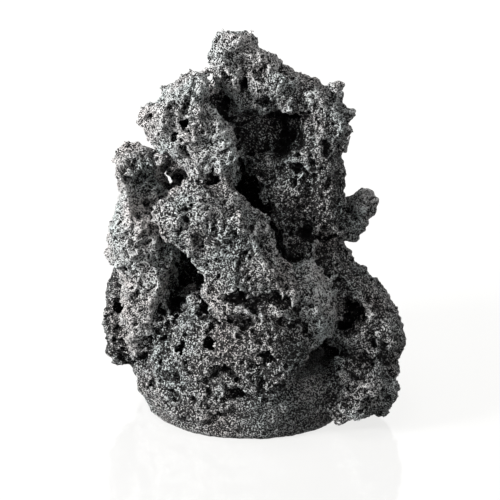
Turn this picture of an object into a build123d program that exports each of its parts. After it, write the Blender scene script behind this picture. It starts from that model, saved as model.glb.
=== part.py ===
"""Cave ornament for a bowl aquarium: lava-rock castings in filled resin, bonded round an open foot ring.

The row frame has +Z up, the front at -Y and its origin at the centre of the ring's underside, in mm.
Every casting is a faceted crag. Those bonded later are cut by the ones they lean on, so that they
meet face to face along a glue line, and the cave and its mouths are cut out of all of them. The rocks
that stand proud also have a cast peg, which is glued into a socket in the rock that carries them.
"""

import os
from math import cos, radians, sin

from build123d import *

# Driving dimensions
RING_RADIUS = 57.0
RING_HEIGHT = 28.0
BORE_RADIUS = 41.0
RELIEF_SIDES = 24
RELIEF_RISE = 2.0
RING_TOE = 2.5
PEG_RADIUS = 3.0
PEG_GAP = 0.15
PEG_LENGTH = 14.0

# How a crag swells from its front to its back: (share of the depth, share of the outline's size)
SWELL = [(0.0, 0.52), (0.16, 0.86), (0.45, 1.0), (0.8, 0.88), (1.0, 0.55)]

# The same for a rock with a blunt front, and for a tunnel, which narrows inwards
BLUNT = [(0.0, 0.74), (0.14, 0.93), (0.45, 1.0), (0.8, 0.88), (1.0, 0.55)]
TUNNEL = [(0.0, 0.9), (0.5, 1.0), (1.0, 0.75)]
FUNNEL = [(0.0, 1.15), (0.45, 1.0), (0.65, 0.55), (1.0, 0.45)]
BOWL = [(0.0, 1.0), (0.75, 0.95), (0.9, 0.8), (1.0, 0.5)]


def middle(outline):
    """The mean of an outline's points."""
    return (
        sum(u for u, _ in outline) / len(outline),
        sum(v for _, v in outline) / len(outline),
    )


def section(plane, outline, scale, shift):
    """An outline on a plane, scaled about its middle and then shifted."""
    mu, mv = middle(outline)
    with BuildSketch(plane) as face:
        with BuildLine():
            Polyline(
                *[
                    (mu + scale * (u - mu) + shift[0], mv + scale * (v - mv) + shift[1])
                    for u, v in outline
                ],
                close=True,
            )
        make_face()
    return face.sketch


def crag(outline, front, back, lean=(0, 0), swell=SWELL):
    """A rock drawn as its front outline of (x, z) points, swelling and closing between two depths.

    lean moves the back of the rock, against its front, by that much in x and z.
    """
    loft(
        [
            section(
                Plane.XZ.offset(-(front + share * (back - front))),
                outline,
                scale,
                (lean[0] * (share - 0.5), lean[1] * (share - 0.5)),
            )
            for share, scale in swell
        ],
        ruled=True,
    )


def shaft(outline, levels):
    """A tall hollow or wall drawn as its plan of (x, y) points, with (z, scale, dx, dy) at each level."""
    loft(
        [section(Plane.XY.offset(z), outline, scale, (dx, dy)) for z, scale, dx, dy in levels],
        ruled=True,
    )


def cut_by(*others):
    """Leaves out of the open part what other parts already fill."""
    for other in others:
        add(other.part, mode=Mode.SUBTRACT)


def drop_crumbs(casting):
    """Keeps only the largest solid of a casting, because cuts can leave crumbs beside it."""
    with casting:
        add(casting.part.solids().sort_by(SortBy.VOLUME)[-1], mode=Mode.REPLACE)


castings = {}


def finish(name, casting):
    """Files a casting under its name once it is cut."""
    drop_crumbs(casting)
    castings[name] = casting


def rod(root, radius, length):
    """A round rod that stands on a plane."""
    with BuildPart() as body:
        with BuildSketch(root):
            Circle(radius)
        extrude(amount=length)
    return body.part


def peg(rock, host, start, toward):
    """Casts a peg on a rock, from a point inside it, and leaves the socket for it in its host."""
    root = Plane(origin=start, z_dir=toward)
    with rock:
        add(rod(root, PEG_RADIUS, PEG_LENGTH))
    with host:
        add(rod(root, PEG_RADIUS + PEG_GAP, PEG_LENGTH + PEG_GAP), mode=Mode.SUBTRACT)


# The cave: an eight-sided shaft that narrows upwards and leans back. The rocks are also cut back from the
# ring's bore, flat by flat, so that only the ring has a round wall.
CAVE_PLAN = [
    (39 * cos(radians(22.5 + 45 * i)), 39 * sin(radians(22.5 + 45 * i))) for i in range(8)
]
with BuildPart() as cave:
    with BuildSketch():
        RegularPolygon(BORE_RADIUS + 0.1, RELIEF_SIDES, major_radius=False)
    extrude(amount=RING_HEIGHT + RELIEF_RISE)
    shaft(
        CAVE_PLAN,
        [
            (RING_HEIGHT - 6, 1.0, 0, 0),
            (52, 0.84, 0, 1),
            (84, 0.66, -1, 5),
            (120, 0.5, -3, 9),
            (150, 0.4, 2, 10),
            (170, 0.16, 6, 10),
        ],
    )

# The cleft in the front, which opens the cave between the bridge and the right wall
with BuildPart() as cleft:
    shaft(
        [(-14, -70), (14, -70), (12, -28), (9, -6), (6, 14), (-14, 14)],
        [(78, 0.5, 8, 6), (94, 0.8, 5, 2), (112, 1.0, 1, 0), (128, 0.8, -6, 0), (138, 0.5, -10, 0)],
    )

# The hollow in the front of the right wall, under the crest
with BuildPart() as brow_hollow:
    crag(
        [(-17, 148), (-16, 162), (4, 167), (22, 166), (32, 158), (32, 147), (22, 140), (6, 139), (-6, 141)],
        front=-64,
        back=-9,
        swell=BOWL,
    )

# The left mouth, a slanting slit between the left shoulder and the bridge
with BuildPart() as left_mouth:
    crag(
        [(-38, 104), (-31, 101), (-25, 90), (-19, 74), (-26, 70), (-37, 72)],
        front=-60,
        back=8,
        lean=(14, -4),
        swell=TUNNEL,
    )

# The window, high on the left, which goes right through under the left crag
with BuildPart() as window:
    crag(
        [(-50, 138), (-42, 140), (-33, 134), (-28, 124), (-34, 117), (-46, 124)],
        front=-50,
        back=40,
        lean=(-4, -30),
        swell=FUNNEL,
    )

# The lower right mouth, over the ring between the front boulder and the right foot
with BuildPart() as lower_mouth:
    crag(
        [(27, 44), (38, 50), (47, 48), (50, 38), (40, 29), (28, 29)],
        front=-60,
        back=-14,
        lean=(-14, 4),
        swell=TUNNEL,
    )

# The foot ring that everything stands on
with BuildPart() as foot_ring:
    with BuildSketch(Plane.XZ):
        with BuildLine():
            Polyline(
                (BORE_RADIUS, 0),
                (RING_RADIUS - RING_TOE, 0),
                (RING_RADIUS, RING_TOE),
                (RING_RADIUS + 1.5, RING_HEIGHT * 0.4),
                (RING_RADIUS + 1.0, RING_HEIGHT * 0.75),
                (RING_RADIUS - 4.0, RING_HEIGHT),
                (BORE_RADIUS, RING_HEIGHT),
                close=True,
            )
        make_face()
    revolve(axis=Axis.Z)
finish("foot_ring", foot_ring)

# The two sides of the cave
with BuildPart() as left_shoulder:
    crag(
        [(-65, 125), (-61, 131), (-54, 127), (-48, 122), (-40, 117), (-34, 111), (-34, 98), (-36, 72), (-40, 54),
         (-44, 24), (-58, 24), (-62, 40), (-65, 60), (-64, 74), (-66, 83), (-73, 91), (-69, 102), (-66, 114)],
        front=-38,
        back=30,
        lean=(6, 0),
    )
    cut_by(foot_ring, cave, left_mouth, window)
finish("left_shoulder", left_shoulder)

with BuildPart() as right_wall:
    crag(
        [(-12, 158), (14, 162), (38, 162), (46, 152), (43, 142), (47, 132), (46, 115), (49, 102), (44, 90), (53, 76),
         (51, 66), (42, 54), (27, 54), (19, 70), (12, 86), (13, 102), (11, 114), (4, 127), (-3, 138), (-9, 146)],
        front=-27,
        back=36,
        lean=(0, 4),
        swell=BLUNT,
    )
    cut_by(cave, cleft, brow_hollow)
finish("right_wall", right_wall)

# The back of the cave, from the ring up to the crest
with BuildPart() as back_wall:
    shaft(
        [(-54, 2), (-46, 30), (-22, 50), (6, 57), (34, 44), (50, 22), (54, -2), (30, -6), (-36, -8)],
        [
            (RING_HEIGHT, 1.0, 0, 0),
            (58, 1.02, 0, 0),
            (96, 0.88, 1, -1),
            (132, 0.72, 2, -3),
            (158, 0.54, 4, -7),
            (169, 0.32, 6, -10),
        ],
    )
    cut_by(cave, left_mouth, window, left_shoulder, right_wall)
finish("back_wall", back_wall)

# The rocks of the front, from the ring upwards
with BuildPart() as right_buttress:
    crag(
        [(16, 84), (28, 92), (42, 88), (47, 74), (46, 55), (43, 40), (27, 34), (19, 46), (14, 64)],
        front=-43,
        back=0,
        lean=(4, 6),
    )
    cut_by(foot_ring, cave, lower_mouth, right_wall, back_wall)
finish("right_buttress", right_buttress)

with BuildPart() as left_foot:
    shaft(
        [(-59, -6), (-58, -24), (-48, -41), (-33, -53), (-15, -59), (-9, -50), (-12, -28), (-36, -6)],
        [
            (12, 0.97, 0, 0),
            (24, 1.04, 0, 0),
            (44, 1.0, 0, 1),
            (60, 0.8, 3, 3),
            (69, 0.5, 4, 4),
        ],
    )
    cut_by(foot_ring, cave, left_shoulder, left_mouth, back_wall)
finish("left_foot", left_foot)

with BuildPart() as front_boulder:
    crag(
        [(-19, 54), (-12, 65), (2, 68), (14, 65), (25, 57), (28, 48), (26, 38), (18, 30), (4, 26), (-10, 27),
         (-19, 38)],
        front=-67,
        back=-22,
        lean=(0, 6),
    )
    cut_by(foot_ring, cave, left_foot, right_buttress)
finish("front_boulder", front_boulder)

with BuildPart() as bridge:
    crag(
        [(-47, 121), (-38, 127), (-31, 131), (-14, 131), (-5, 122), (6, 111), (12, 97), (20, 86), (28, 74), (22, 60),
         (2, 58), (-12, 62), (-20, 72), (-24, 86), (-29, 98), (-41, 106)],
        front=-56,
        back=-12,
        lean=(4, -4),
        swell=BLUNT,
    )
    cut_by(cave, left_mouth, left_shoulder, left_foot, front_boulder, right_buttress, right_wall)
finish("bridge", bridge)

# The rocks of the top
with BuildPart() as left_crag:
    crag(
        [(-54, 157), (-51, 165), (-42, 167), (-42, 174), (-34, 178), (-28, 182), (-23, 182), (-24, 169), (-17, 160),
         (-9, 149), (-6, 138), (-9, 126), (-20, 118), (-29, 123), (-30, 130), (-37, 137), (-45, 142), (-51, 149)],
        front=-40,
        back=14,
        lean=(0, -14),
        swell=BLUNT,
    )
    cut_by(cave, window, bridge, left_shoulder, back_wall)
finish("left_crag", left_crag)

with BuildPart() as crest:
    crag(
        [(-10, 161), (-8, 173), (2, 184), (12, 182), (22, 177), (35, 172), (43, 168), (44, 158), (49, 150), (44, 141),
         (35, 143), (31, 155), (20, 161), (4, 160)],
        front=-28,
        back=28,
        lean=(-4, -12),
        swell=BLUNT,
    )
    # The far rim of the chimney, seen in the notch between the left crag and the summit
    crag(
        [(-31, 154), (-29, 168), (-16, 173), (-2, 174), (6, 164), (-12, 150)],
        front=2,
        back=30,
        lean=(0, -4),
    )
    cut_by(cave, back_wall, right_wall, left_crag)
finish("crest", crest)

with BuildPart() as summit:
    crag(
        [(-19, 187), (-17, 197), (-13, 202), (-4, 202), (1, 196), (8, 190), (16, 183), (10, 170), (-8, 168),
         (-17, 178)],
        front=-25,
        back=12,
        lean=(0, -8),
        swell=BLUNT,
    )
    cut_by(crest, left_crag, back_wall)
finish("summit", summit)

# The rocks that stand proud at the sides
with BuildPart() as left_spur:
    crag(
        [(-67, 131), (-69, 137), (-64, 142), (-56, 142), (-50, 137), (-51, 129), (-59, 124)],
        front=-20,
        back=6,
    )
    cut_by(left_shoulder, left_crag, window)
finish("left_spur", left_spur)

with BuildPart() as right_spur:
    crag(
        [(40, 108), (50, 111), (56, 114), (64, 113), (60, 105), (59, 97), (51, 91), (40, 89)],
        front=-14,
        back=16,
        lean=(0, -4),
    )
    cut_by(right_wall, back_wall)
finish("right_spur", right_spur)

with BuildPart() as left_boulder:
    crag(
        [(-75, 62), (-71, 71), (-64, 74), (-54, 68), (-52, 50), (-54, 26), (-70, 23), (-75, 30), (-77, 46)],
        front=-26,
        back=28,
    )
    cut_by(foot_ring, left_shoulder, left_foot)
finish("left_boulder", left_boulder)

with BuildPart() as right_boulder:
    crag(
        [(40, 58), (45, 70), (52, 75), (62, 70), (71, 63), (78, 52), (81, 40), (78, 28), (68, 24), (48, 28), (40, 38)],
        front=-36,
        back=30,
        lean=(-4, -6),
    )
    with BuildSketch(Plane.XZ.offset(40)):
        with BuildLine():
            Polyline((43, 49), (44, 62), (50, 70), (59, 67), (62, 58), (57, 49), (50, 45), close=True)
        make_face()
    extrude(amount=-20, mode=Mode.SUBTRACT)
    cut_by(foot_ring, cave, lower_mouth, back_wall, right_wall, right_buttress)
finish("right_boulder", right_boulder)

with BuildPart() as right_foot:
    crag(
        [(40, 24), (47, 34), (58, 37), (70, 34), (76, 25), (76, 14), (71, 7), (60, 4), (48, 5), (41, 13)],
        front=-54,
        back=2,
        lean=(6, 0),
    )
    cut_by(foot_ring, cave, right_boulder, right_buttress)
finish("right_foot", right_foot)

# The rocks that close the back
with BuildPart() as rear_left_boulder:
    crag(
        [(-66, 50), (-52, 84), (-26, 94), (-4, 72), (-2, 34), (-16, 10), (-44, 6), (-62, 18)],
        front=18,
        back=66,
        lean=(14, 0),
    )
    cut_by(foot_ring, cave, back_wall, left_shoulder, left_boulder)
finish("rear_left_boulder", rear_left_boulder)

with BuildPart() as rear_right_boulder:
    crag(
        [(0, 46), (10, 76), (32, 86), (49, 66), (60, 38), (50, 14), (22, 7), (4, 20)],
        front=18,
        back=66,
        lean=(-12, 0),
    )
    cut_by(foot_ring, cave, back_wall, right_boulder, rear_left_boulder, right_wall)
finish("rear_right_boulder", rear_right_boulder)

with BuildPart() as rear_crag:
    crag(
        [(-36, 106), (-38, 124), (-26, 142), (-8, 152), (12, 142), (18, 118), (8, 98), (-14, 88)],
        front=10,
        back=56,
        lean=(6, -6),
    )
    cut_by(window, back_wall, left_shoulder, left_crag, rear_left_boulder, rear_right_boulder)
finish("rear_crag", rear_crag)

# The cast pegs: the rock, the casting that carries it, a point inside the rock, and the way the peg goes
PEGS = [
    (left_shoulder, foot_ring, (-50, 0, 35), (0, 0, -1)),
    (back_wall, foot_ring, (-33, 36, 35), (0, 0, -1)),
    (back_wall, foot_ring, (33, 36, 35), (0, 0, -1)),
    (left_foot, foot_ring, (-34, -34, 35), (0, 0, -1)),
    (right_foot, foot_ring, (60, -14, 18), (-1, 0, 0)),
    (right_buttress, right_wall, (32, -22, 50), (0, 0.3, 1)),
    (front_boulder, left_foot, (-6, -46, 44), (-1, 0, 0)),
    (bridge, front_boulder, (4, -42, 71), (0, 0, -1)),
    (left_crag, bridge, (-22, -24, 133), (0.1, 0, -1)),
    (crest, right_wall, (39, 2, 166), (0, 0, -1)),
    (summit, crest, (-7, -6, 187), (0.64, 0.2, -0.74)),
    (left_spur, left_shoulder, (-58, -8, 134), (0.15, 0, -1)),
    (right_spur, right_wall, (52, 2, 103), (-1, 0, 0)),
    (left_boulder, left_shoulder, (-66, 0, 50), (1, 0, 0)),
    (right_boulder, back_wall, (58, 6, 48), (-1, 0, 0)),
    (rear_left_boulder, back_wall, (-40, 44, 50), (0.5, -0.85, 0)),
    (rear_right_boulder, back_wall, (40, 42, 50), (-0.5, -0.85, 0)),
    (rear_crag, back_wall, (-10, 48, 120), (0, -1, 0)),
]
for rock, host, start, toward in PEGS:
    peg(rock, host, start, toward)
for casting in castings.values():
    drop_crumbs(casting)

os.makedirs("parts", exist_ok=True)
for name, casting in castings.items():
    casting.part.label = name
    export_step(casting.part, f"parts/{name}.step")
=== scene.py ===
"""Looks of the resin cave ornament: CAD rocks carved into porous lava stone, dry-brushed with silver.

The carving works on one distance field for the whole ornament, in millimetres, so that crags and pores run
on from rock to rock. The field is then cut along the CAD's glue lines into one closed mesh for each node.
"""

import math

import bpy
import numpy as np
import openvdb
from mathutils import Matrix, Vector


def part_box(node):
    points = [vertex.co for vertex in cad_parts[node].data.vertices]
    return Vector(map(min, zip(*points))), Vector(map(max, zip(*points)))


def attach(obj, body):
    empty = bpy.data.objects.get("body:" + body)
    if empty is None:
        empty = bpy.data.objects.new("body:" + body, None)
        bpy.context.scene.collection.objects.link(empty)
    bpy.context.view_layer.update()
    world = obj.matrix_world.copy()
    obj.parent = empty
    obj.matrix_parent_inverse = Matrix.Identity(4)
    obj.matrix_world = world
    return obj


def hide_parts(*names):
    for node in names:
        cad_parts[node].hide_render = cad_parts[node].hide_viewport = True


MM = 0.001
SEED = 7

# The grid that the stone is carved in, in millimetres: its voxels, the room round the CAD, and how far from
# a CAD rock its distance is known
VOXEL = 0.62
MARGIN = 7.0
REACH = 8.0

# How softly the CAD rocks grow together, how much their edges are softened, how much stone that gets back
# for the carving, and how far a glue line laps, in millimetres
MERGE = 1.1
SOFTEN = 1.0
INFLATE = 0.8
OVERLAP = 0.03

# Crags and ridges, from coarse to fine: the size of their cells and how deep they are, in millimetres
SWELL = (22, 1.0)
BOULDERS = (11, 3.0)
CRAGS = ((12, 12, 17), 4.5)
LEDGES = ((6.5, 6.5, 10), 3.4)
NODULES = (4.5, 2.2)
RIDGES = (3.4, 2.0)
CRUMBS = (1.7, 1.1)
# The rims of the listed hollows wander like this, and by no more than the limit
RAGGED = (4.5, 2.0)
RAGGED_LIMIT = 3
# How wide the soft foot of a knob is, in millimetres
KNOB_FOOT = 3
# Pores, from large to small: how far apart, their smallest and largest radius, and how far outside the
# surface their centres lie, as a share of the radius
LARGE_PORES = (17.0, (1.6, 3.6), 0.3)
MIDDLE_PORES = (5.5, (0.9, 1.8), 0.3)
SMALL_PORES = (2.8, (0.6, 1.1), 0.2)
# Pores are drawn out up the tall crags, and level in the boulders below this height
TALL = 95

# Hollows and knobs that give single rocks their own shape: the rock, the place as shares of its box (from
# left to right, front to back and foot to top), the radius in millimetres, and the way they are drawn out
HOLLOWS = [
    ("summit", (0.16, 0.02, 0.36), 3.2, (1.5, 0, 0.5)),
    ("crest", (0.90, 0.06, 0.69), 2.6, None),
    ("crest", (0.16, 0.45, 0.80), 4.6, (0, 2.6, -0.9)),
    ("crest", (0.99, 0.10, 0.24), 2.6, (1.4, 0, 0)),
    ("crest", (0.50, 0.02, 0.62), 2.6, (1.8, 0, -0.5)),
    ("left_crag", (0.39, 0.00, 0.65), 2.8, (0.7, 0, 2.4)),
    ("left_crag", (0.25, 0.03, 0.63), 2.2, (0.3, 0, 2.4)),
    ("left_crag", (0.70, 0.00, 0.66), 2.2, (1.2, 0, -2.8)),
    ("left_crag", (0.45, 0.00, 0.44), 2.2, (1.0, 0, -1.8)),
    ("left_crag", (0.20, 0.12, 0.84), 2.6, (1.2, 0, 0.4)),
    ("left_shoulder", (0.56, 0.16, 0.90), 3.2, (2.0, 0, 1.4)),
    ("left_shoulder", (0.27, 0.04, 0.60), 2.4, (0.8, 0, 1.6)),
    ("left_shoulder", (0.00, 0.45, 0.55), 3.0, (0.6, 4.0, 0)),
    ("left_shoulder", (0.10, 0.45, 0.95), 2.6, (0.4, 4.0, 0)),
    ("left_shoulder", (0.93, 0.18, 0.50), 5.6, (0.3, 0, 2.2)),
    ("left_boulder", (0.38, 0.02, 0.78), 3.4, (0, 1.6, 0)),
    ("left_foot", (0.42, 0.46, 0.96), 5.0, (0.8, 0, 1.0)),
    ("left_foot", (0.49, 0.20, 0.62), 2.8, (0.8, 0.8, 0.8)),
    ("left_foot", (0.28, 0.31, 0.44), 2.0, (0.4, 0, 2.0)),
    ("left_foot", (0.86, 0.14, 0.68), 3.4, (2.2, 0.3, -0.5)),
    ("front_boulder", (0.14, 0.10, 0.26), 6.8, (1.6, 0, 0.2)),
    ("front_boulder", (0.39, 0.02, 0.69), 2.8, None),
    ("front_boulder", (0.59, 0.00, 0.59), 2.6, (1.5, 0, -0.7)),
    ("bridge", (0.52, 0.00, 0.27), 5.2, (2.2, 0, 0.3)),
    ("bridge", (0.72, 0.00, 0.25), 5.2, (2.4, 0, 0)),
    ("bridge", (0.88, 0.12, 0.24), 3.6, (2.0, 0, -0.3)),
    ("bridge", (0.18, 0.05, 0.58), 3.4, (0.3, 0.8, -2.6)),
    ("bridge", (0.31, 0.22, 0.37), 5.4, (0.4, 2.4, 0)),
    ("right_spur", (0.49, 0.10, 0.87), 3.2, None),
    ("right_wall", (0.25, 0.20, 0.67), 5.0, (0, 2.5, 0)),
    ("right_wall", (0.33, 0.20, 0.57), 5.0, (0, 2.5, 0)),
    ("right_wall", (0.37, 0.20, 0.47), 4.2, (0, 2.5, 0)),
    ("right_wall", (0.60, 0.00, 0.44), 4.6, (2.4, 0, -0.3)),
    ("right_wall", (0.60, 0.00, 0.78), 3.4, (2.0, 0, 0.5)),
    ("right_boulder", (0.28, 0.08, 0.72), 7.6, (0.3, 0, 1.1)),
]
KNOBS = [
    ("summit", (0.52, 0.32, 0.95), 1.8, None),
    ("summit", (0.06, 0.36, 0.64), 3.4, (0.6, 0, 1.0)),
    ("summit", (0.80, 0.20, 0.50), 3.2, (1.2, 0, -1.0)),
    ("summit", (0.66, 0.12, 0.36), 4.6, (1.0, 0, -1.0)),
    ("crest", (0.15, 0.70, 0.50), 4.2, (1.2, 0, 0)),
    ("crest", (0.92, 0.10, 0.80), 2.6, (1.4, 0, 0.3)),
    ("crest", (0.98, 0.20, 0.44), 3.4, (1.5, 0, 0.4)),
    ("crest", (0.95, 0.20, 0.08), 3.0, (1.2, 0, -0.2)),
    ("left_crag", (0.66, 0.30, 0.97), 2.4, (0.3, 0, 1.2)),
    ("left_crag", (0.06, 0.14, 0.72), 3.0, (1.2, 0, 0.4)),
    ("left_crag", (0.88, 0.06, 0.46), 3.4, (1.0, 0, -3.0)),
    ("left_crag", (0.52, 0.00, 0.58), 3.0, (0.6, 0, 2.2)),
    ("left_shoulder", (0.05, 0.30, 0.64), 3.4, (1.0, 0, 0.8)),
    ("left_shoulder", (0.44, 0.02, 0.77), 4.0, (0.4, 0, 1.6)),
    ("bridge", (0.88, 0.30, 0.46), 3.0, None),
    ("bridge", (0.24, 0.10, 0.95), 4.0, (1.6, 0, 0.4)),
    ("back_wall", (0.13, 0.50, 0.68), 6.2, None),
    ("back_wall", (0.06, 0.50, 0.71), 5.8, None),
    ("back_wall", (0.15, 0.50, 0.65), 4.0, None),
    ("left_foot", (0.54, 0.24, 0.80), 4.0, (0.6, 0, 1.4)),
    ("left_foot", (0.88, 0.06, 0.16), 4.0, (1.6, 0, 0)),
    ("foot_ring", (0.50, 0.02, 0.72), 4.5, (1.6, 0, 0)),
    ("right_wall", (0.73, 0.02, 0.54), 4.5, (2.0, 0, -0.2)),
    ("right_wall", (0.78, 0.00, 0.68), 3.0, (1.2, 0, -1.2)),
    ("right_wall", (0.24, 0.30, 0.89), 4.5, (1.6, 0, 0.2)),
    ("right_wall", (0.89, 0.10, 0.30), 3.6, (-0.6, 0, 2.0)),
]

# How much more or less silver single rocks get: partly how much the brush left, partly painted light and
# shade that make a rock lighter or darker by how brightly it is lit
BRUSHING_AND_PAINTED_LIGHT = {
    "summit": 0.08,
    "left_crag": 0.10,
    "crest": -0.06,
    "back_wall": -0.3,
    "right_wall": -0.20,
    "right_buttress": 0.12,
    "bridge": -0.05,
    "left_shoulder": 0.12,
    "left_boulder": -0.30,
    "left_foot": -0.11,
    "front_boulder": -0.2,
    "right_boulder": -0.14,
    "right_foot": -0.10,
    "foot_ring": -0.03,
}

# How much darker the sheltered places are, by slot: partly silver that the brush didn't reach, partly
# painted shade in hollows and recesses
UNBRUSHED_AND_SHADED = {"rock": 0.9, "foot": 0.2}
# How far round a point the stone counts for the silver, in millimetres, and how much: close by and wider
EDGE = (1.4, 0.9)
LUMP = (4.0, 0.6)
# How far single rocks' brushing and painted light and shade fade into their neighbours, and what counts as
# shelter, in millimetres
FADE = 4.0
SHELTER = 13.0

# By slot, the silver's colour and how strong the pattern of large pits in it is
LOOKS = {
    "rock": ((0.84, 0.85, 0.85), 0.4),
    "foot": ((0.74, 0.75, 0.75), 0.15),
}

# Black resin, from the bare hollows and the painted shade in sheltered places up to where the silver coat
# begins, and the warm and cool tints on it
RESIN = [
    (0.36, (0.004, 0.003, 0.003)),
    (0.50, (0.020, 0.017, 0.016)),
    (0.62, (0.09, 0.088, 0.086)),
    (0.71, (0.34, 0.34, 0.34)),
]
TINTS = [
    (0.34, (1.0, 0.94, 0.92)),
    (0.50, (1.0, 0.99, 0.98)),
    (0.66, (0.93, 1.0, 0.99)),
]

# The camera, from the ring's arc in the picture: its tilt, its distance and the height that it looks at
TILT = math.radians(19.0)
DISTANCE = 0.9
LOOK_AT = 0.084
LENS = 122.4
SENSOR = 36

# The lights: name, place in metres, side in metres, and power in watts
LIGHTS = [
    ("key", (-1.0, -0.46, 0.46), 0.3, 26),
    ("fill", (0.8, -0.9, 0.25), 0.8, 3.4),
    ("top", (-0.1, -0.1, 1.0), 0.4, 3),
]
LIT_HEIGHT = 0.09
AMBIENT_ABOVE = 0.26
AMBIENT_BELOW = 0.04
BACKDROP = 1.05
FLOOR_GLOW = 0.79
CARD_GLOW = 0.6
STUDIO_DEPTH = 1.5

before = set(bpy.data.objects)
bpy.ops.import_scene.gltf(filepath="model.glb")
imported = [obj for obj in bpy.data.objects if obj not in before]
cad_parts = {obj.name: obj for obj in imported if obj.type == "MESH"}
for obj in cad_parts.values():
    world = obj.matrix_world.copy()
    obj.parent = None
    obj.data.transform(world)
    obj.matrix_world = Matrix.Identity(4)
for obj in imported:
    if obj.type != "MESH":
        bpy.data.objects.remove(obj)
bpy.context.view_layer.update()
NODES = sorted(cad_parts)


# ---------------------------------------------------------------- the grid

class Grid:
    """A box of voxels in millimetres, with arrays indexed [x, y, z]."""

    def __init__(self, low, high):
        self.low = np.floor((np.array(low) - MARGIN) / VOXEL) * VOXEL
        self.shape = tuple(np.ceil((np.array(high) + MARGIN - self.low) / VOXEL).astype(int) + 1)

    def window(self, low, high):
        """The slices that hold a box, and the coordinates of the first voxel in them."""
        first = np.maximum(np.floor((np.array(low) - self.low) / VOXEL).astype(int), 0)
        last = np.minimum(np.ceil((np.array(high) - self.low) / VOXEL).astype(int) + 1, self.shape)
        return tuple(slice(a, b) for a, b in zip(first, last)), first

    def point(self, index):
        """Where voxels are, in millimetres."""
        return self.low + np.asarray(index) * VOXEL


def cad_mesh(node):
    """A CAD node's corners in millimetres and its triangles."""
    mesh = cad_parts[node].data
    mesh.calc_loop_triangles()
    corners = np.empty(len(mesh.vertices) * 3)
    mesh.vertices.foreach_get("co", corners)
    triangles = np.empty(len(mesh.loop_triangles) * 3, dtype=np.int32)
    mesh.loop_triangles.foreach_get("vertices", triangles)
    return corners.reshape(-1, 3) / MM, triangles.reshape(-1, 3)


def welded(corners, triangles):
    """The same mesh with the corners joined that lie on each other."""
    _, first, back = np.unique(np.round(corners, 3), axis=0, return_index=True, return_inverse=True)
    faces = back.reshape(-1)[triangles]
    proper = (faces[:, 0] != faces[:, 1]) & (faces[:, 1] != faces[:, 2]) & (faces[:, 2] != faces[:, 0])
    return corners[first], faces[proper]


def distance_field(grid, node):
    """The signed distance to a CAD node near it, with the window it fills."""
    corners, triangles = welded(*cad_mesh(node))
    slices, first = grid.window(corners.min(0) - REACH, corners.max(0) + REACH)
    in_voxels = (corners - grid.low) / VOXEL
    level = openvdb.FloatGrid.createLevelSetFromPolygons(
        in_voxels.astype(np.float32), triangles=triangles.astype(np.uint32), halfWidth=REACH / VOXEL
    )
    field = np.empty([s.stop - s.start for s in slices], dtype=np.float32)
    level.copyToArray(field, ijk=tuple(int(v) for v in first))
    return field * VOXEL, slices


# ---------------------------------------------------------------- fields on the whole grid

def blur(field, radius):
    """A soft average over about a radius, as two passes of a running mean along each axis."""
    half = max(1, int(round(radius / VOXEL / 1.7)))
    width = 2 * half + 1
    for axis in range(3):
        for _ in range(2):
            pad = [(0, 0)] * 3
            pad[axis] = (half + 1, half)
            total = np.cumsum(np.pad(field, pad, mode="edge"), axis=axis, dtype=np.float64)
            upper = [slice(None)] * 3
            lower = [slice(None)] * 3
            upper[axis] = slice(width, None)
            lower[axis] = slice(None, -width)
            field = ((total[tuple(upper)] - total[tuple(lower)]) / width).astype(np.float32)
    return field


def spline_rows(count, cell):
    """Weights of a cubic spline that draws a lattice out to one row of voxels."""
    place = np.arange(count) * VOXEL / cell
    base = np.floor(place).astype(int)
    t = place - base
    rows = np.zeros((count, base.max() + 5), dtype=np.float32)
    parts = (
        (1 - t) ** 3 / 6,
        (3 * t**3 - 6 * t**2 + 4) / 6,
        (-3 * t**3 + 3 * t**2 + 3 * t + 1) / 6,
        t**3 / 6,
    )
    for step, part in enumerate(parts):
        rows[np.arange(count), base + step] = part
    return rows


def noise(grid, cell, seed):
    """Smooth noise of about -1 to 1 with bumps of a size in millimetres, or a size along each axis."""
    cells = (cell, cell, cell) if np.isscalar(cell) else cell
    rows = [spline_rows(n, c) for n, c in zip(grid.shape, cells)]
    lattice = np.random.RandomState(seed).uniform(-1, 1, [r.shape[1] for r in rows]).astype(np.float32)
    field = np.tensordot(rows[0], lattice, (1, 0))
    field = np.einsum("yj,xjk->xyk", rows[1], field, optimize=True)
    field = field @ rows[2].T
    # Smoothing has shrunk the values, so they are brought back to about -1 to 1
    return field * 2.2


# ---------------------------------------------------------------- carving

def surface_points(grid, field, count, random):
    """Places on the field's surface, in millimetres, with the outward direction at each."""
    near = np.argwhere(np.abs(field) < VOXEL * 0.6)
    chosen = near[random.randint(0, len(near), count)]
    chosen = np.clip(chosen, 1, np.array(grid.shape) - 2)
    x, y, z = chosen.T
    slope = np.stack(
        [
            field[x + 1, y, z] - field[x - 1, y, z],
            field[x, y + 1, z] - field[x, y - 1, z],
            field[x, y, z + 1] - field[x, y, z - 1],
        ],
        axis=1,
    )
    slope /= np.linalg.norm(slope, axis=1, keepdims=True) + 1e-6
    jitter = random.uniform(-0.5, 0.5, chosen.shape)
    return grid.point(chosen + jitter), slope


def from_centre(grid, centre, radius, stretch=None):
    """How far voxels are from a centre, and the window they fill, with room for a radius."""
    longest = 1.0 if stretch is None else np.linalg.norm(stretch)
    size = radius * longest + VOXEL
    slices, _ = grid.window(centre - size, centre + size)
    x, y, z = (grid.low[i] + np.arange(s.start, s.stop) * VOXEL - centre[i] for i, s in enumerate(slices))
    x = x.astype(np.float32)[:, None, None]
    y = y.astype(np.float32)[None, :, None]
    z = z.astype(np.float32)[None, None, :]
    square = x * x + y * y + z * z
    if stretch is not None:
        # Measured along the stretch, a millimetre counts for less, so a ball becomes an egg
        long = float(np.linalg.norm(stretch))
        along = (x * stretch[0] + y * stretch[1] + z * stretch[2]) / long
        square = square - along * along * (1 - 1 / long**2)
    return slices, np.sqrt(np.maximum(square, 0))


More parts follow.
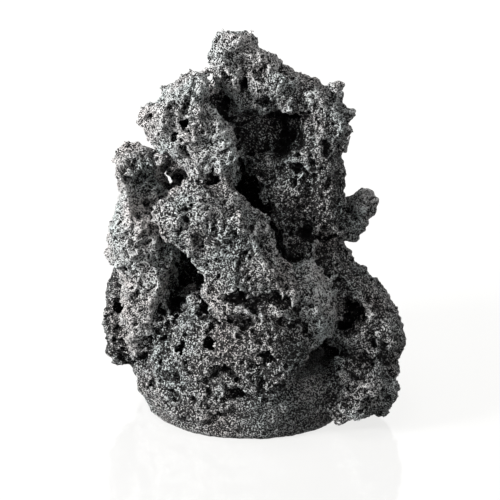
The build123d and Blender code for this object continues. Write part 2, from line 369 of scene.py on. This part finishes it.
def dig(grid, field, centre, radius, stretch=None, ragged=None):
    """Takes a ball out of the stone, with a ragged rim where a field for it is given."""
    room = 1 if ragged is None else RAGGED_LIMIT + 1
    slices, distance = from_centre(grid, centre, radius + room, stretch)
    bite = radius - distance
    if ragged is not None:
        bite += np.clip(ragged[slices], -RAGGED_LIMIT, RAGGED_LIMIT)
    field[slices] = np.maximum(field[slices], bite)


def heap(grid, field, centre, radius, stretch=None):
    """Adds a ball to the stone, grown into it with a soft foot."""
    slices, distance = from_centre(grid, centre, radius + KNOB_FOOT, stretch)
    near = field[slices]
    apart = np.abs(near - (distance - radius))
    foot = np.maximum(KNOB_FOOT - apart, 0) ** 2 / (4 * KNOB_FOOT)
    field[slices] = np.minimum(near, distance - radius) - foot


def lumps(grid, field, size, seed):
    """Scattered round lumps of about a size near the surface: 0 in their middles, over 1 between them."""
    random = np.random.RandomState(seed)
    count = int(np.prod(grid.shape) * VOXEL**3 / (0.5 * size**3))
    places = random.uniform(0, 1, (count, 3)) * (np.array(grid.shape) - 1)
    radii = size * random.uniform(0.55, 1.2, count)
    x, y, z = places.astype(int).T
    near = np.abs(field[x, y, z]) < size * 0.9
    height = np.full(grid.shape, 1.2, dtype=np.float32)
    for centre, radius in zip(grid.point(places[near]), radii[near]):
        slices, distance = from_centre(grid, centre, radius * 1.2)
        height[slices] = np.minimum(height[slices], distance / np.float32(radius))
    return height


def centred(field, change):
    """A change that on the whole neither adds nor takes stone at the surface."""
    return change - change[np.abs(field) < VOXEL].mean()


def crag_noise(grid, cragginess, number):
    """Smooth noise from a cell size and a depth."""
    cell, depth = cragginess
    return noise(grid, cell, SEED + number) * depth


def ridged(grid, field, cragginess, number):
    """Noise folded into sharp valleys, from a cell size and a depth, centred on the surface."""
    cell, depth = cragginess
    return centred(field, np.abs(noise(grid, cell, SEED + number))) * depth


def at(node, shares):
    """A place in a CAD node's box, in millimetres."""
    low, high = (np.array(corner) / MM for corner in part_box(node))
    return low + (high - low) * shares


def pores(grid, field, spacing, sizes, sink, random, area, rough, grain=None):
    """Digs round pores in the rough stone, spaced and sized in millimetres."""
    count = int(area / spacing**2)
    places, outward = surface_points(grid, field, count, random)
    radii = sizes[0] + (sizes[1] - sizes[0]) * random.uniform(0, 1, count) ** 2
    x, y, z = ((places - grid.low) / VOXEL).round().astype(int).T
    for place, out, radius, share in zip(places, outward, radii, rough[x, y, z]):
        if share > 0.8:
            centre = place + out * radius * sink
            dig(grid, field, centre, radius, grain(centre) if grain else None)


def surface_area(field):
    """About how large the field's surface is, in square millimetres."""
    return float((np.abs(field) < VOXEL * 0.5).sum()) * VOXEL**2


def rock_fields(grid):
    """The merged CAD rocks, and for each voxel the nearest rock and how much nearer it is than the next."""
    nearest = np.full(grid.shape, REACH, dtype=np.float32)
    second = np.full(grid.shape, REACH, dtype=np.float32)
    owner = np.full(grid.shape, -1, dtype=np.int8)
    merged = np.zeros(grid.shape, dtype=np.float32)
    for number, node in enumerate(NODES):
        field, slices = distance_field(grid, node)
        low = nearest[slices]
        next_low = second[slices]
        closer = field < low
        second[slices] = np.where(closer, low, np.minimum(next_low, field))
        owner[slices] = np.where(closer, number, owner[slices])
        nearest[slices] = np.where(closer, field, low)
        merged[slices] += np.exp(-field / MERGE)
    merged = np.where(merged > 1e-3, -MERGE * np.log(np.maximum(merged, 1e-3)), REACH)
    return np.minimum(merged, REACH).astype(np.float32), owner, (second - nearest) / 2


def grain_way(centre):
    """The way that a pore is drawn out."""
    if centre[2] > TALL:
        return (0.5, 0, 1.8)
    return (1.3, 0, 0.3)


def carve(grid, field, owner):
    """Turns the merged rocks into porous stone."""
    random = np.random.RandomState(SEED)
    field = blur(field, SOFTEN) - INFLATE
    height = (grid.low[2] + np.arange(grid.shape[2]) * VOXEL).astype(np.float32)[None, None, :]
    # The foot ring was cast smoother than the rocks
    rough = 1 - 0.8 * blur((owner == NODES.index("foot_ring")).astype(np.float32), 3.0)
    field += crag_noise(grid, SWELL, 1) * rough
    field += centred(field, lumps(grid, field, BOULDERS[0], SEED + 2)) * BOULDERS[1] * rough
    field += ridged(grid, field, CRAGS, 8) * rough
    field += ridged(grid, field, LEDGES, 7) * rough
    for node, shares, radius, stretch in KNOBS:
        heap(grid, field, at(node, shares), radius, stretch)
    ragged = crag_noise(grid, RAGGED, 9)
    for node, shares, radius, stretch in HOLLOWS:
        dig(grid, field, at(node, shares), radius, stretch, ragged)
    field += centred(field, lumps(grid, field, NODULES[0], SEED + 3)) * NODULES[1] * rough
    # Finer crags with sharp ridges
    field += ridged(grid, field, RIDGES, 5) * rough
    area = surface_area(field)
    pores(grid, field, *LARGE_PORES, random, area, rough, grain_way)
    pores(grid, field, *MIDDLE_PORES, random, area, rough)
    # The ring gets its share of crumbs too
    cell, depth = CRUMBS
    field += (np.abs(noise(grid, cell, SEED + 6)) - 0.4) * depth * (0.3 + 0.7 * rough)
    pores(grid, field, *SMALL_PORES, random, area, rough)
    # The underside is flat
    np.maximum(field, -height, out=field)
    return field


def main_shell(points, faces):
    """Keeps the largest connected shell of a mesh."""
    label = np.arange(len(points))
    while True:
        low = label[faces].min(axis=1)
        new = label.copy()
        np.minimum.at(new, faces.reshape(-1), np.repeat(low, faces.shape[1]))
        new = new[new]
        if (new == label).all():
            break
        label = new
    names, counts = np.unique(label, return_counts=True)
    keep = label == names[counts.argmax()]
    index = np.cumsum(keep) - 1
    return points[keep], index[faces[keep[faces[:, 0]]]]


def sample(field, points):
    """A field's values at points in voxels, read between the eight voxels round each."""
    base = np.clip(np.floor(points).astype(int), 0, np.array(field.shape) - 2)
    t = (points - base).astype(np.float32)
    total = np.zeros(len(points), dtype=np.float32)
    for corner in range(8):
        step = np.array([corner >> 2 & 1, corner >> 1 & 1, corner & 1])
        weight = np.prod(np.where(step, t, 1 - t), axis=1)
        x, y, z = (base + step).T
        total += weight * field[x, y, z]
    return total


def slope(field, points):
    """A field's slope at points in voxels, per voxel."""
    steps = np.eye(3) * 0.5
    rises = [sample(field, points + step) - sample(field, points - step) for step in steps]
    return np.stack(rises, axis=1)


def onto(field, points, level):
    """Moves points in voxels to where a field has a level, straight along its slope."""
    way = slope(field, points)
    short = np.sum(way * way, axis=1) + 0.02
    step = (sample(field, points) - level) / short
    return points - way * np.clip(step, -2, 2)[:, None]


def piece_mesh(field, owner, lead, number):
    """One rock's closed mesh in voxels, with a flag for each face that lies on a glue line."""
    where = np.argwhere(owner == number)
    low = np.maximum(where.min(0) - 3, 0)
    high = np.minimum(where.max(0) + 4, field.shape)
    slices = tuple(slice(a, b) for a, b in zip(low, high))
    side = np.where(owner[slices] == number, -lead[slices], lead[slices]).astype(np.float32)
    stone = np.ascontiguousarray(field[slices])
    level = openvdb.FloatGrid(REACH)
    level.copyFromArray(np.maximum(stone, side - OVERLAP), ijk=tuple(int(v) for v in low))
    points, quads = main_shell(*level.convertToQuads(0.0))
    # The meshing rounds the rim between a rock's skin and its glue face, so the rim is drawn out again
    local = points - low
    rim = np.abs(sample(stone, local) - sample(side, local) + OVERLAP) < VOXEL * 1.2
    for _ in range(3):
        local[rim] = onto(side, local[rim], OVERLAP)
        local[rim] = onto(stone, local[rim], 0.0)
    middle = local[quads].mean(axis=1)
    glued = sample(side, middle) - OVERLAP > sample(stone, middle)
    return local + low, quads, glued


def add_piece(name, points, quads, glued, shade):
    """A Blender object from a mesh in millimetres, with each point's silver, with painted light and shade
    in it, as a float layer on its points.

    The edges round its glue faces are sharp, so that the skin shades on across a glue line.
    """
    mesh = bpy.data.meshes.new(name)
    mesh.vertices.add(len(points))
    mesh.vertices.foreach_set("co", (points * MM).astype(np.float32).reshape(-1))
    mesh.loops.add(len(quads) * 4)
    mesh.loops.foreach_set("vertex_index", quads.astype(np.int32)[:, ::-1].reshape(-1))
    mesh.polygons.add(len(quads))
    mesh.polygons.foreach_set("loop_start", np.arange(0, len(quads) * 4, 4, dtype=np.int32))
    mesh.update(calc_edges=True)
    edges = np.empty(len(mesh.loops), dtype=np.int32)
    mesh.loops.foreach_get("edge_index", edges)
    glue_sides = np.bincount(edges, np.repeat(glued, 4), len(mesh.edges))
    sides = np.bincount(edges, minlength=len(mesh.edges))
    rim = (glue_sides > 0) & (glue_sides < sides)
    mesh.attributes.new("sharp_edge", "BOOLEAN", "EDGE").data.foreach_set("value", rim)
    silver_and_painted_light = mesh.attributes.new("silver_and_painted_light", "FLOAT", "POINT")
    silver_and_painted_light.data.foreach_set("value", shade.astype(np.float32))
    mesh.polygons.foreach_set("use_smooth", np.ones(len(mesh.polygons), dtype=bool))
    piece = bpy.data.objects.new(name, mesh)
    bpy.context.scene.collection.objects.link(piece)
    return piece


# ---------------------------------------------------------------- materials

class Shading:
    """A material's nodes, with short names for what is built of them."""

    def __init__(self, tree):
        self.tree = tree

    def node(self, kind, **settings):
        made = self.tree.nodes.new(kind)
        for key, value in settings.items():
            setattr(made, key, value)
        return made

    def link(self, source, target):
        self.tree.links.new(source, target)

    def maths(self, operation, a, b, clamp=False):
        """Two values or outputs worked together."""
        made = self.node("ShaderNodeMath", operation=operation, use_clamp=clamp)
        for socket, value in zip(made.inputs, (a, b)):
            if isinstance(value, (int, float)):
                socket.default_value = value
            else:
                self.link(value, socket)
        return made.outputs[0]

    def grain(self, place, scale, detail):
        """Smooth noise from 0 to 1."""
        made = self.node("ShaderNodeTexNoise")
        made.inputs["Scale"].default_value = scale
        made.inputs["Detail"].default_value = detail
        self.link(place, made.inputs["Vector"])
        return made.outputs["Fac"]

    def pits(self, place, scale):
        """Round pits with ridges between them, about zero on the whole."""
        made = self.node("ShaderNodeTexVoronoi", feature="F1")
        made.inputs["Scale"].default_value = scale
        self.link(place, made.inputs["Vector"])
        return self.maths("SUBTRACT", made.outputs["Distance"], 0.45)

    def bent(self, place):
        """Places bent a little, so that the ridges between pits wander like lace."""
        bend = self.node("ShaderNodeTexNoise")
        bend.inputs["Scale"].default_value = 500
        self.link(place, bend.inputs["Vector"])
        made = self.node("ShaderNodeVectorMath", operation="MULTIPLY_ADD")
        self.link(bend.outputs["Color"], made.inputs[0])
        made.inputs[1].default_value = (0.0016, 0.0016, 0.0016)
        self.link(place, made.inputs[2])
        return made.outputs["Vector"]

    def ramp(self, source, stops):
        """Colours along a value."""
        made = self.node("ShaderNodeValToRGB")
        elements = made.color_ramp.elements
        while len(elements) < len(stops):
            elements.new(0.5)
        for element, (position, colour) in zip(elements, stops):
            element.position = position
            element.color = (*colour, 1)
        self.link(source, made.inputs["Fac"])
        return made.outputs["Color"]

    def tinted(self, colour, tint):
        """A colour multiplied by a tint."""
        made = self.node("ShaderNodeMix", data_type="RGBA", blend_type="MULTIPLY")
        made.inputs["Factor"].default_value = 1.0
        self.link(colour, made.inputs["A"])
        self.link(tint, made.inputs["B"])
        return made.outputs["Result"]


def stone_material(name, coat, lace):
    """Black resin, dry-brushed: silver where the point layer of silver and painted light is high, bare and
    glossier elsewhere, where the dark also stands for painted shade.

    coat is the silver's colour, and lace is how strong the pattern of large pits is.
    """
    material = bpy.data.materials.new(name)
    material.use_nodes = True
    shader = material.node_tree.nodes["Principled BSDF"]
    nodes = Shading(material.node_tree)
    place = nodes.node("ShaderNodeTexCoord").outputs["Object"]
    # The point layer holds the brushed silver with painted light and shade in it: lighter and darker rocks,
    # and darker sheltered places
    silver_and_painted_light = nodes.node("ShaderNodeAttribute", attribute_name="silver_and_painted_light").outputs["Fac"]
    bent = nodes.bent(place)
    speck = nodes.maths("SUBTRACT", nodes.grain(place, 1400, 3), 0.5)
    patch = nodes.maths("SUBTRACT", nodes.grain(place, 90, 3), 0.5)
    large = nodes.maths("MULTIPLY", nodes.pits(bent, 560), lace)
    small = nodes.maths("MULTIPLY", nodes.pits(bent, 950), 0.8)
    fine = nodes.maths("ADD", nodes.maths("ADD", large, small), nodes.maths("MULTIPLY", speck, 3.4))
    broad = nodes.maths("MULTIPLY", patch, 0.3)
    height = nodes.maths("ADD", nodes.maths("ADD", silver_and_painted_light, fine), broad, clamp=True)
    paint = nodes.ramp(height, [*RESIN, (0.82, coat)])
    tint = nodes.ramp(nodes.grain(place, 40, 4), TINTS)
    nodes.link(nodes.tinted(paint, tint), shader.inputs["Base Color"])
    gloss = nodes.node("ShaderNodeMapRange")
    gloss.inputs["To Min"].default_value = 0.38
    gloss.inputs["To Max"].default_value = 0.62
    nodes.link(height, gloss.inputs["Value"])
    nodes.link(gloss.outputs["Result"], shader.inputs["Roughness"])
    bump = nodes.node("ShaderNodeBump")
    bump.inputs["Strength"].default_value = 1.0
    bump.inputs["Distance"].default_value = 0.0010
    nodes.link(fine, bump.inputs["Height"])
    nodes.link(bump.outputs["Normal"], shader.inputs["Normal"])
    return material


# ---------------------------------------------------------------- the studio

def plain_material(name, inputs):
    """A material with these values on its shader."""
    material = bpy.data.materials.new(name)
    material.use_nodes = True
    shader = material.node_tree.nodes["Principled BSDF"]
    for socket, value in inputs.items():
        shader.inputs[socket].default_value = value
    return material


def staged_plane(name, size, tilt, inputs):
    """A square plane of the studio, tilted about the X axis, with its own material."""
    bpy.ops.mesh.primitive_plane_add(size=size, location=(0, STUDIO_DEPTH, 0), rotation=(tilt, 0, 0))
    plane = bpy.context.object
    plane.name = name
    plane.data.materials.append(plain_material(name, inputs))
    return plane


def floor_and_card():
    """A pale, slightly glossy floor under the ornament, and the white card that it mirrors."""
    floor = staged_plane(
        "studio_floor",
        8,
        0,
        {
            "Base Color": (0.14, 0.14, 0.14, 1),
            "Roughness": 0.08,
            "IOR": 1.8,
            "Emission Color": (1.0, 0.997, 0.985, 1),
            "Emission Strength": FLOOR_GLOW,
        },
    )
    # The glowing floor is only looked at: it doesn't light the ornament from below
    floor.visible_diffuse = False
    floor.visible_glossy = False
    card = staged_plane(
        "studio_card",
        5,
        math.pi / 2,
        {
            "Base Color": (0, 0, 0, 1),
            "Emission Color": (1, 1, 1, 1),
            "Emission Strength": CARD_GLOW,
        },
    )
    card.visible_camera = False
    card.visible_diffuse = False
    card.visible_shadow = False


def area_light(name, place, size, power):
    """A soft square light that faces the middle of the ornament."""
    light = bpy.data.lights.new(name, "AREA")
    light.size = size
    light.energy = power
    lamp = bpy.data.objects.new(name, light)
    bpy.context.scene.collection.objects.link(lamp)
    lamp.location = place
    aim = Vector((0, 0, LIT_HEIGHT)) - lamp.location
    lamp.rotation_euler = aim.to_track_quat("-Z", "Y").to_euler()


def surroundings():
    """A world that is white to look at, but as a light it is dim, and dimmer from below."""
    world = bpy.data.worlds.new("studio")
    world.use_nodes = True
    tree = world.node_tree
    background = tree.nodes["Background"]
    background.inputs["Color"].default_value = (1, 1, 1, 1)
    place = tree.nodes.new("ShaderNodeTexCoord")
    parts = tree.nodes.new("ShaderNodeSeparateXYZ")
    tree.links.new(place.outputs["Generated"], parts.inputs["Vector"])
    glow = tree.nodes.new("ShaderNodeMapRange")
    glow.inputs["From Min"].default_value = -0.4
    glow.inputs["From Max"].default_value = 0.7
    glow.inputs["To Min"].default_value = AMBIENT_BELOW
    glow.inputs["To Max"].default_value = AMBIENT_ABOVE
    tree.links.new(parts.outputs["Z"], glow.inputs["Value"])
    path = tree.nodes.new("ShaderNodeLightPath")
    strength = tree.nodes.new("ShaderNodeMapRange")
    strength.inputs["To Max"].default_value = BACKDROP
    tree.links.new(glow.outputs["Result"], strength.inputs["To Min"])
    tree.links.new(path.outputs["Is Camera Ray"], strength.inputs["Value"])
    tree.links.new(strength.outputs["Result"], background.inputs["Strength"])
    bpy.context.scene.world = world
    bpy.context.scene.view_settings.view_transform = "Standard"


def front_camera():
    """The camera, in front of the ornament and tilted down at it."""
    camera = bpy.data.objects.new("camera", bpy.data.cameras.new("camera"))
    camera.data.lens = LENS
    camera.data.sensor_width = SENSOR
    camera.data.clip_start = 0.01
    camera.location = (0, -DISTANCE * math.cos(TILT), LOOK_AT + DISTANCE * math.sin(TILT))
    camera.rotation_euler = (math.pi / 2 - TILT, 0, 0)
    bpy.context.scene.collection.objects.link(camera)
    bpy.context.scene.camera = camera


# ---------------------------------------------------------------- the ornament

def silver_and_shade_fields(stone, owner):
    """How much silver the brush left, which is more on what stands out, with painted light and shade on
    single rocks, and how sheltered each place is, which is used for painted shade.
    """
    solid = np.clip(0.5 - stone / (2 * VOXEL), 0, 1)
    rock_brushing_and_light = np.array([BRUSHING_AND_PAINTED_LIGHT.get(node, 0) for node in NODES] + [0], dtype=np.float32)
    edge_reach, edge_share = EDGE
    lump_reach, lump_share = LUMP
    edge = edge_share * (0.5 - blur(solid, edge_reach))
    lump = lump_share * (0.5 - blur(solid, lump_reach))
    # Each rock's own amount, partly brushing and partly painted light and shade, fades across its glue
    # lines
    silver_and_painted_light = 0.5 + edge + lump + blur(rock_brushing_and_light[owner], FADE)
    shelter = np.clip(blur(solid, SHELTER) * 2 - 1, 0, 1)
    return silver_and_painted_light, shelter


def ornament():
    """Carves the stone and adds one piece for each CAD node."""
    boxes = [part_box(node) for node in NODES]
    grid = Grid(
        np.min([low for low, _ in boxes], axis=0) / MM,
        np.max([high for _, high in boxes], axis=0) / MM,
    )
    merged, owner, lead = rock_fields(grid)
    stone = carve(grid, merged, owner)
    silver_and_painted_light, shelter = silver_and_shade_fields(stone, owner)
    materials = {slot: stone_material(slot, *look) for slot, look in LOOKS.items()}
    for number, node in enumerate(NODES):
        slot = "foot" if node == "foot_ring" else "rock"
        points, quads, glued = piece_mesh(stone, owner, lead, number)
        # Sheltered places lose silver: partly bare resin, partly painted shade in hollows and recesses
        shade = sample(silver_and_painted_light, points) - UNBRUSHED_AND_SHADED[slot] * sample(shelter, points)
        piece = add_piece("stone_" + node, points * VOXEL + grid.low, quads, glued, shade)
        piece.data.materials.append(materials[slot])
        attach(piece, "root")
        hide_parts(node)


ornament()
floor_and_card()
for light in LIGHTS:
    area_light(*light)
surroundings()
front_camera()
